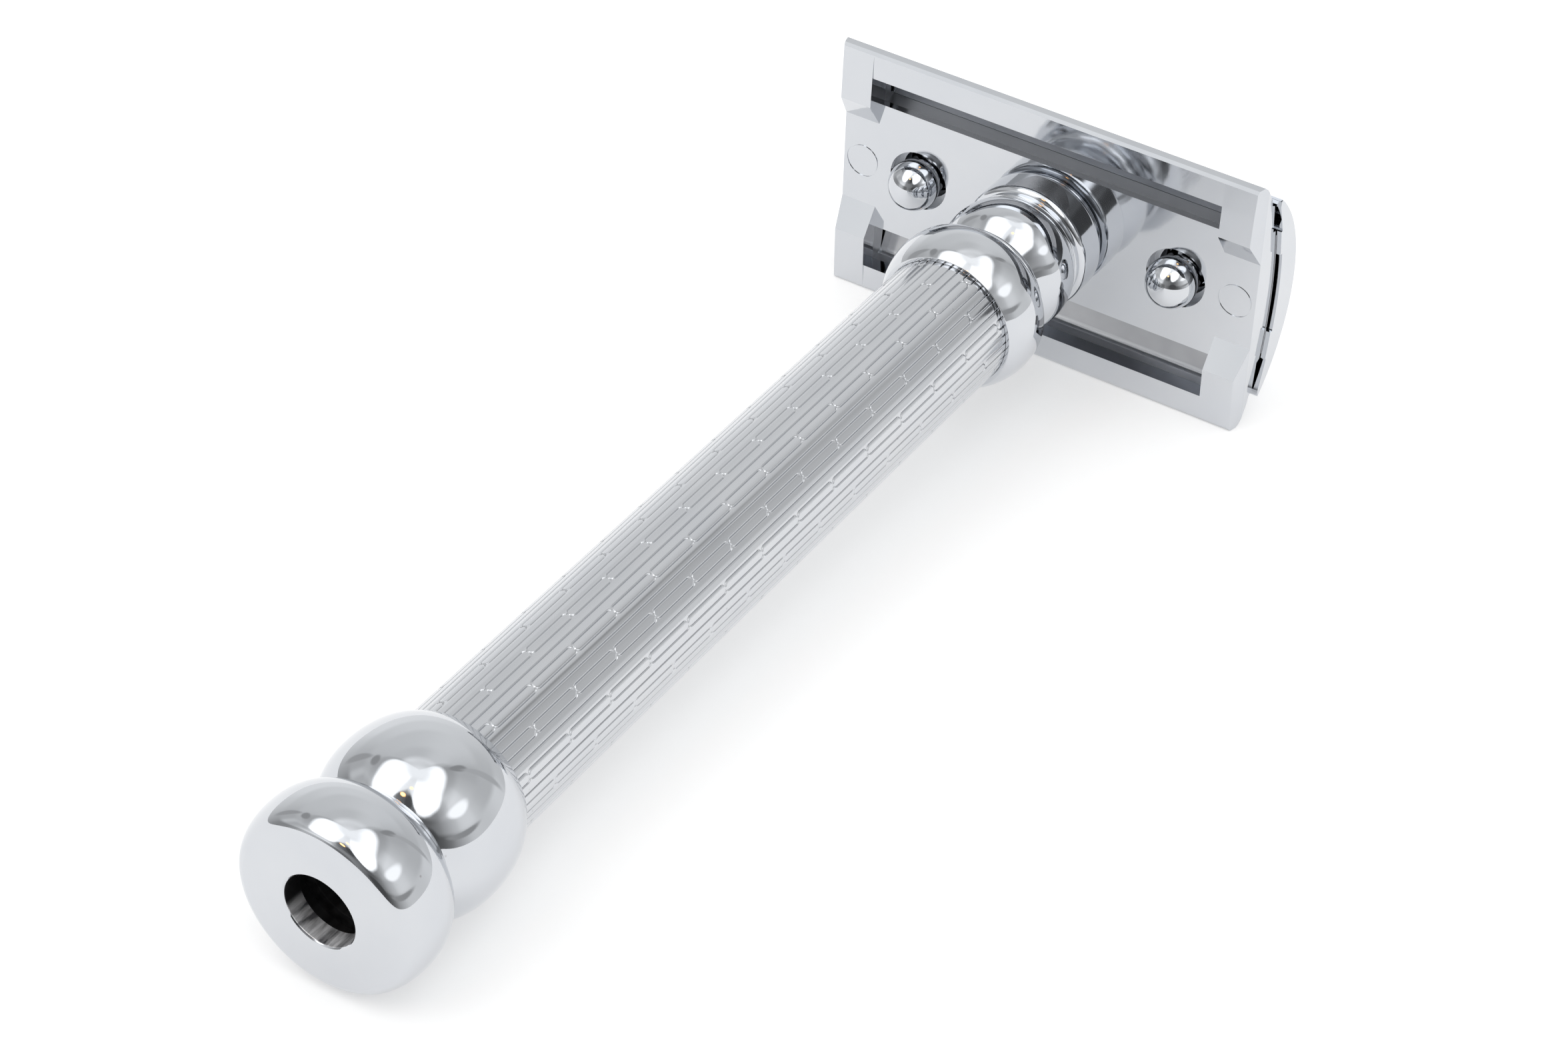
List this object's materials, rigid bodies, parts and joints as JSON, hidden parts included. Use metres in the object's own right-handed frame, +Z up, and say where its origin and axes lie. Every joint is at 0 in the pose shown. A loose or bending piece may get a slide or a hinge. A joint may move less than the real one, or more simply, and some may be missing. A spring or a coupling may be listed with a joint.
{
  "type": "safety razor",
  "caption": "Long-handled double-edge safety razor lying on its side: domed cap, closed-bar base plate, grooved grip, collar, ball and end knob; the handle unscrews.",
  "frame": {"origin": "middle of the razor's footprint, on the surface that it lies on", "axes": "+X from the end knob to the head, +Z up from the surface, Y along the head; the handle rises 2.54 degrees towards the head"},
  "size_m": [0.1128, 0.0436, 0.0258],
  "materials": {
    "chrome_cap": "polished chrome plate",
    "chrome_plate": "polished chrome plate",
    "chrome_handle": "polished chrome plate",
    "chrome_grip": "chrome plate over fine lengthwise grooves",
    "stud_steel": "turned steel thread",
    "blade_steel": "satin stainless with ground edges",
    "bush_brass": "turned brass"
  },
  "bodies": {
    "cap": {"top_cap": "chrome_cap", "locating_pegs": "chrome_cap", "threaded_stud": "stud_steel"},
    "blade": {"razor_blade": "blade_steel"},
    "plate": {"base_plate": "chrome_plate"},
    "handle": {"neck_fitting": "chrome_handle", "thread_bush": "bush_brass", "collar_ring": "chrome_handle", "grip_tube": "chrome_grip", "pommel_ball": "chrome_handle", "end_knob": "chrome_handle"}
  },
  "joints": [
    {"name": "plate_slide", "type": "slide", "parent": "cap", "child": "plate", "axis": [-0.999, 0, -0.0443], "range_m": [0, 0.00641]},
    {"name": "blade_slide", "type": "slide", "parent": "cap", "child": "blade", "axis": [-0.999, 0, -0.0443], "range_m": [0, 0.00321]},
    {"name": "handle_turn", "type": "hinge", "parent": "plate", "child": "handle", "pos_m": [0.0449, 0, 0.01273], "axis": [-0.999, 0, -0.0443], "range_deg": [0, 2880]}
  ],
  "couplings": [
    {"joint": "plate_slide", "follows": "handle_turn", "m_per_rad": 0.00012732},
    {"joint": "blade_slide", "follows": "handle_turn", "m_per_rad": 0.000063662}
  ]
}
